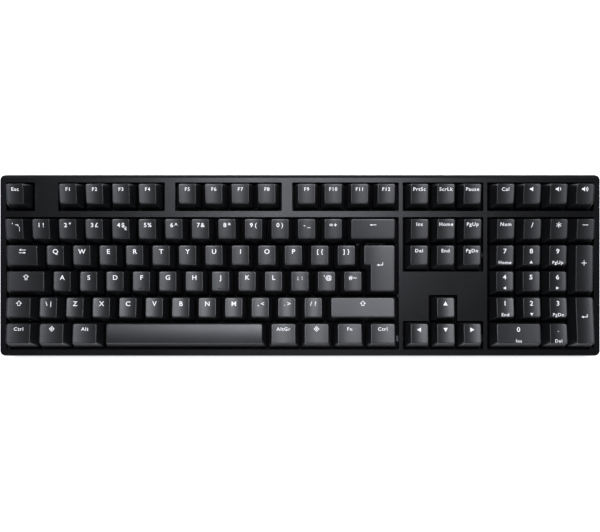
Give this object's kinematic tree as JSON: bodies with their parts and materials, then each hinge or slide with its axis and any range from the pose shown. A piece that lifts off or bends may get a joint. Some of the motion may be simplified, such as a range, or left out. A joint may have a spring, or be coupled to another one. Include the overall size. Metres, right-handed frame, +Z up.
{
  "type": "mechanical keyboard",
  "caption": "Full-size ISO mechanical keyboard in black, with sculpted travelling keys over a steel plate, and flip-out rear feet.",
  "frame": {"origin": "middle of the outline, on the desk under the rubber pads", "axes": "+X to the typist's right, +Y away from the typist, +Z up; the deck leans 5 degrees towards the typist"},
  "size_m": [0.4404, 0.135, 0.0416],
  "materials": {
    "case_plastic": "fine matte black",
    "keycap_plastic": "matte dark grey, slightly grainy",
    "plate_steel": "black powder coat",
    "board": "solder mask",
    "switch_plastic": "satin",
    "switch_cover": "satin",
    "spring_steel": "bright",
    "contact_metal": "bright",
    "chip_plastic": "matte",
    "socket_steel": "bright",
    "rubber": "matte",
    "screw_steel": "dark zinc"
  },
  "bodies": {
    "chassis": {"top_case": "case_plastic", "bottom_case": "case_plastic", "switch_plate": "plate_steel", "circuit_board": "board", "switch_lower_housings": "switch_plastic", "switch_upper_housings": "switch_cover", "switch_springs": "spring_steel", "switch_contacts": "contact_metal", "diodes": "chip_plastic", "controller_chip": "chip_plastic", "usb_socket": "socket_steel", "rubber_pads": "rubber", "case_screws": "screw_steel", "plate_screws": "screw_steel", "stabilizer_housings": "switch_plastic"},
    "key_escape": {"key_escape": "keycap_plastic"},
    "keys_f1_to_f4": {"keys_f1_to_f4": "keycap_plastic"},
    "keys_f5_to_f8": {"keys_f5_to_f8": "keycap_plastic"},
    "keys_f9_to_f12": {"keys_f9_to_f12": "keycap_plastic"},
    "keys_print_scroll_pause": {"keys_print_scroll_pause": "keycap_plastic"},
    "keys_media": {"keys_media": "keycap_plastic"},
    "keys_number_row": {"keys_number_row": "keycap_plastic"},
    "key_backspace": {"key_backspace": "keycap_plastic"},
    "key_tab": {"key_tab": "keycap_plastic"},
    "keys_upper_letters": {"keys_upper_letters": "keycap_plastic"},
    "key_enter": {"key_enter": "keycap_plastic"},
    "key_caps_lock": {"key_caps_lock": "keycap_plastic"},
    "keys_home_letters": {"keys_home_letters": "keycap_plastic"},
    "key_shift_left": {"key_shift_left": "keycap_plastic"},
    "keys_lower_letters": {"keys_lower_letters": "keycap_plastic"},
    "key_shift_right": {"key_shift_right": "keycap_plastic"},
    "key_control_left": {"key_control_left": "keycap_plastic"},
    "key_system_left": {"key_system_left": "keycap_plastic"},
    "key_alt_left": {"key_alt_left": "keycap_plastic"},
    "key_space": {"key_space": "keycap_plastic"},
    "key_alt_right": {"key_alt_right": "keycap_plastic"},
    "key_system_right": {"key_system_right": "keycap_plastic"},
    "key_function": {"key_function": "keycap_plastic"},
    "key_control_right": {"key_control_right": "keycap_plastic"},
    "keys_navigation": {"keys_navigation": "keycap_plastic"},
    "key_arrow_up": {"key_arrow_up": "keycap_plastic"},
    "key_arrow_left": {"key_arrow_left": "keycap_plastic"},
    "key_arrow_down": {"key_arrow_down": "keycap_plastic"},
    "key_arrow_right": {"key_arrow_right": "keycap_plastic"},
    "keys_pad_operators": {"keys_pad_operators": "keycap_plastic"},
    "keys_pad_digits": {"keys_pad_digits": "keycap_plastic"},
    "key_pad_zero": {"key_pad_zero": "keycap_plastic"},
    "key_pad_plus": {"key_pad_plus": "keycap_plastic"},
    "key_pad_enter": {"key_pad_enter": "keycap_plastic"},
    "stabilizer_wire_backspace": {"stabilizer_wire_backspace": "spring_steel"},
    "stabilizer_wire_enter": {"stabilizer_wire_enter": "spring_steel"},
    "stabilizer_wire_shift_right": {"stabilizer_wire_shift_right": "spring_steel"},
    "stabilizer_wire_space": {"stabilizer_wire_space": "spring_steel"},
    "stabilizer_wire_pad_zero": {"stabilizer_wire_pad_zero": "spring_steel"},
    "stabilizer_wire_pad_plus": {"stabilizer_wire_pad_plus": "spring_steel"},
    "stabilizer_wire_pad_enter": {"stabilizer_wire_pad_enter": "spring_steel"},
    "foot_left": {"foot_left": "case_plastic", "foot_pad_left": "rubber"},
    "foot_right": {"foot_right": "case_plastic", "foot_pad_right": "rubber"}
  },
  "joints": [
    {"name": "press_escape", "type": "slide", "parent": "chassis", "child": "key_escape", "axis": [0, 0.0872, -0.9962], "range_m": [0, 0.004], "stiffness_N_per_m": 75, "springref_m": -0.004, "deforming": ["switch_springs"]},
    {"name": "press_f1_to_f4", "type": "slide", "parent": "chassis", "child": "keys_f1_to_f4", "axis": [0, 0.0872, -0.9962], "range_m": [0, 0.004], "stiffness_N_per_m": 300, "springref_m": -0.004, "deforming": ["switch_springs"]},
    {"name": "press_f5_to_f8", "type": "slide", "parent": "chassis", "child": "keys_f5_to_f8", "axis": [0, 0.0872, -0.9962], "range_m": [0, 0.004], "stiffness_N_per_m": 300, "springref_m": -0.004, "deforming": ["switch_springs"]},
    {"name": "press_f9_to_f12", "type": "slide", "parent": "chassis", "child": "keys_f9_to_f12", "axis": [0, 0.0872, -0.9962], "range_m": [0, 0.004], "stiffness_N_per_m": 300, "springref_m": -0.004, "deforming": ["switch_springs"]},
    {"name": "press_print_scroll_pause", "type": "slide", "parent": "chassis", "child": "keys_print_scroll_pause", "axis": [0, 0.0872, -0.9962], "range_m": [0, 0.004], "stiffness_N_per_m": 225, "springref_m": -0.004, "deforming": ["switch_springs"]},
    {"name": "press_media", "type": "slide", "parent": "chassis", "child": "keys_media", "axis": [0, 0.0872, -0.9962], "range_m": [0, 0.004], "stiffness_N_per_m": 300, "springref_m": -0.004, "deforming": ["switch_springs"]},
    {"name": "press_number_row", "type": "slide", "parent": "chassis", "child": "keys_number_row", "axis": [0, 0.0872, -0.9962], "range_m": [0, 0.004], "stiffness_N_per_m": 975, "springref_m": -0.004, "deforming": ["switch_springs"]},
    {"name": "press_backspace", "type": "slide", "parent": "chassis", "child": "key_backspace", "axis": [0, 0.0872, -0.9962], "range_m": [0, 0.004], "stiffness_N_per_m": 75, "springref_m": -0.004, "deforming": ["switch_springs"]},
    {"name": "press_tab", "type": "slide", "parent": "chassis", "child": "key_tab", "axis": [0, 0.0872, -0.9962], "range_m": [0, 0.004], "stiffness_N_per_m": 75, "springref_m": -0.004, "deforming": ["switch_springs"]},
    {"name": "press_upper_letters", "type": "slide", "parent": "chassis", "child": "keys_upper_letters", "axis": [0, 0.0872, -0.9962], "range_m": [0, 0.004], "stiffness_N_per_m": 900, "springref_m": -0.004, "deforming": ["switch_springs"]},
    {"name": "press_enter", "type": "slide", "parent": "chassis", "child": "key_enter", "axis": [0, 0.0872, -0.9962], "range_m": [0, 0.004], "stiffness_N_per_m": 75, "springref_m": -0.004, "deforming": ["switch_springs"]},
    {"name": "press_caps_lock", "type": "slide", "parent": "chassis", "child": "key_caps_lock", "axis": [0, 0.0872, -0.9962], "range_m": [0, 0.004], "stiffness_N_per_m": 75, "springref_m": -0.004, "deforming": ["switch_springs"]},
    {"name": "press_home_letters", "type": "slide", "parent": "chassis", "child": "keys_home_letters", "axis": [0, 0.0872, -0.9962], "range_m": [0, 0.004], "stiffness_N_per_m": 900, "springref_m": -0.004, "deforming": ["switch_springs"]},
    {"name": "press_shift_left", "type": "slide", "parent": "chassis", "child": "key_shift_left", "axis": [0, 0.0872, -0.9962], "range_m": [0, 0.004], "stiffness_N_per_m": 75, "springref_m": -0.004, "deforming": ["switch_springs"]},
    {"name": "press_lower_letters", "type": "slide", "parent": "chassis", "child": "keys_lower_letters", "axis": [0, 0.0872, -0.9962], "range_m": [0, 0.004], "stiffness_N_per_m": 825, "springref_m": -0.004, "deforming": ["switch_springs"]},
    {"name": "press_shift_right", "type": "slide", "parent": "chassis", "child": "key_shift_right", "axis": [0, 0.0872, -0.9962], "range_m": [0, 0.004], "stiffness_N_per_m": 75, "springref_m": -0.004, "deforming": ["switch_springs"]},
    {"name": "press_control_left", "type": "slide", "parent": "chassis", "child": "key_control_left", "axis": [0, 0.0872, -0.9962], "range_m": [0, 0.004], "stiffness_N_per_m": 75, "springref_m": -0.004, "deforming": ["switch_springs"]},
    {"name": "press_system_left", "type": "slide", "parent": "chassis", "child": "key_system_left", "axis": [0, 0.0872, -0.9962], "range_m": [0, 0.004], "stiffness_N_per_m": 75, "springref_m": -0.004, "deforming": ["switch_springs"]},
    {"name": "press_alt_left", "type": "slide", "parent": "chassis", "child": "key_alt_left", "axis": [0, 0.0872, -0.9962], "range_m": [0, 0.004], "stiffness_N_per_m": 75, "springref_m": -0.004, "deforming": ["switch_springs"]},
    {"name": "press_space", "type": "slide", "parent": "chassis", "child": "key_space", "axis": [0, 0.0872, -0.9962], "range_m": [0, 0.004], "stiffness_N_per_m": 75, "springref_m": -0.004, "deforming": ["switch_springs"]},
    {"name": "press_alt_right", "type": "slide", "parent": "chassis", "child": "key_alt_right", "axis": [0, 0.0872, -0.9962], "range_m": [0, 0.004], "stiffness_N_per_m": 75, "springref_m": -0.004, "deforming": ["switch_springs"]},
    {"name": "press_system_right", "type": "slide", "parent": "chassis", "child": "key_system_right", "axis": [0, 0.0872, -0.9962], "range_m": [0, 0.004], "stiffness_N_per_m": 75, "springref_m": -0.004, "deforming": ["switch_springs"]},
    {"name": "press_function", "type": "slide", "parent": "chassis", "child": "key_function", "axis": [0, 0.0872, -0.9962], "range_m": [0, 0.004], "stiffness_N_per_m": 75, "springref_m": -0.004, "deforming": ["switch_springs"]},
    {"name": "press_control_right", "type": "slide", "parent": "chassis", "child": "key_control_right", "axis": [0, 0.0872, -0.9962], "range_m": [0, 0.004], "stiffness_N_per_m": 75, "springref_m": -0.004, "deforming": ["switch_springs"]},
    {"name": "press_navigation", "type": "slide", "parent": "chassis", "child": "keys_navigation", "axis": [0, 0.0872, -0.9962], "range_m": [0, 0.004], "stiffness_N_per_m": 450, "springref_m": -0.004, "deforming": ["switch_springs"]},
    {"name": "press_arrow_up", "type": "slide", "parent": "chassis", "child": "key_arrow_up", "axis": [0, 0.0872, -0.9962], "range_m": [0, 0.004], "stiffness_N_per_m": 75, "springref_m": -0.004, "deforming": ["switch_springs"]},
    {"name": "press_arrow_left", "type": "slide", "parent": "chassis", "child": "key_arrow_left", "axis": [0, 0.0872, -0.9962], "range_m": [0, 0.004], "stiffness_N_per_m": 75, "springref_m": -0.004, "deforming": ["switch_springs"]},
    {"name": "press_arrow_down", "type": "slide", "parent": "chassis", "child": "key_arrow_down", "axis": [0, 0.0872, -0.9962], "range_m": [0, 0.004], "stiffness_N_per_m": 75, "springref_m": -0.004, "deforming": ["switch_springs"]},
    {"name": "press_arrow_right", "type": "slide", "parent": "chassis", "child": "key_arrow_right", "axis": [0, 0.0872, -0.9962], "range_m": [0, 0.004], "stiffness_N_per_m": 75, "springref_m": -0.004, "deforming": ["switch_springs"]},
    {"name": "press_pad_operators", "type": "slide", "parent": "chassis", "child": "keys_pad_operators", "axis": [0, 0.0872, -0.9962], "range_m": [0, 0.004], "stiffness_N_per_m": 300, "springref_m": -0.004, "deforming": ["switch_springs"]},
    {"name": "press_pad_digits", "type": "slide", "parent": "chassis", "child": "keys_pad_digits", "axis": [0, 0.0872, -0.9962], "range_m": [0, 0.004], "stiffness_N_per_m": 750, "springref_m": -0.004, "deforming": ["switch_springs"]},
    {"name": "press_pad_zero", "type": "slide", "parent": "chassis", "child": "key_pad_zero", "axis": [0, 0.0872, -0.9962], "range_m": [0, 0.004], "stiffness_N_per_m": 75, "springref_m": -0.004, "deforming": ["switch_springs"]},
    {"name": "press_pad_plus", "type": "slide", "parent": "chassis", "child": "key_pad_plus", "axis": [0, 0.0872, -0.9962], "range_m": [0, 0.004], "stiffness_N_per_m": 75, "springref_m": -0.004, "deforming": ["switch_springs"]},
    {"name": "press_pad_enter", "type": "slide", "parent": "chassis", "child": "key_pad_enter", "axis": [0, 0.0872, -0.9962], "range_m": [0, 0.004], "stiffness_N_per_m": 75, "springref_m": -0.004, "deforming": ["switch_springs"]},
    {"name": "wire_backspace", "type": "hinge", "parent": "chassis", "child": "stabilizer_wire_backspace", "pos_m": [0.05239, 0.01525, 0.0213], "axis": [1, 0, 0], "range_deg": [-25.73, 0.4]},
    {"name": "wire_enter", "type": "hinge", "parent": "chassis", "child": "stabilizer_wire_enter", "pos_m": [0.06843, -0.00435, 0.01958], "axis": [0, 0.9962, 0.0872], "range_deg": [-25.73, 0.4]},
    {"name": "wire_shift_right", "type": "hinge", "parent": "chassis", "child": "stabilizer_wire_shift_right", "pos_m": [0.04524, -0.04168, 0.01631], "axis": [1, 0, 0], "range_deg": [-25.73, 0.4]},
    {"name": "wire_space", "type": "hinge", "parent": "chassis", "child": "stabilizer_wire_space", "pos_m": [-0.08334, -0.06066, 0.01465], "axis": [1, 0, 0], "range_deg": [-25.73, 0.4]},
    {"name": "wire_pad_zero", "type": "hinge", "parent": "chassis", "child": "stabilizer_wire_pad_zero", "pos_m": [0.15716, -0.06066, 0.01465], "axis": [1, 0, 0], "range_deg": [-25.73, 0.4]},
    {"name": "wire_pad_plus", "type": "hinge", "parent": "chassis", "child": "stabilizer_wire_pad_plus", "pos_m": [0.21369, -0.00435, 0.01958], "axis": [0, 0.9962, 0.0872], "range_deg": [-25.73, 0.4]},
    {"name": "wire_pad_enter", "type": "hinge", "parent": "chassis", "child": "stabilizer_wire_pad_enter", "pos_m": [0.21369, -0.04231, 0.01626], "axis": [0, 0.9962, 0.0872], "range_deg": [-25.73, 0.4]},
    {"name": "unfold_foot_left", "type": "hinge", "parent": "chassis", "child": "foot_left", "pos_m": [-0.165, 0.05241, 0.00389], "axis": [1, 0, 0], "range_deg": [0, 100]},
    {"name": "unfold_foot_right", "type": "hinge", "parent": "chassis", "child": "foot_right", "pos_m": [0.165, 0.05241, 0.00389], "axis": [1, 0, 0], "range_deg": [0, 100]}
  ],
  "couplings": [
    {"joint": "wire_backspace", "follows": "press_backspace", "rad_per_m": -110.52},
    {"joint": "wire_enter", "follows": "press_enter", "rad_per_m": -110.52},
    {"joint": "wire_shift_right", "follows": "press_shift_right", "rad_per_m": -110.52},
    {"joint": "wire_space", "follows": "press_space", "rad_per_m": -110.52},
    {"joint": "wire_pad_zero", "follows": "press_pad_zero", "rad_per_m": -110.52},
    {"joint": "wire_pad_plus", "follows": "press_pad_plus", "rad_per_m": -110.52},
    {"joint": "wire_pad_enter", "follows": "press_pad_enter", "rad_per_m": -110.52}
  ]
}
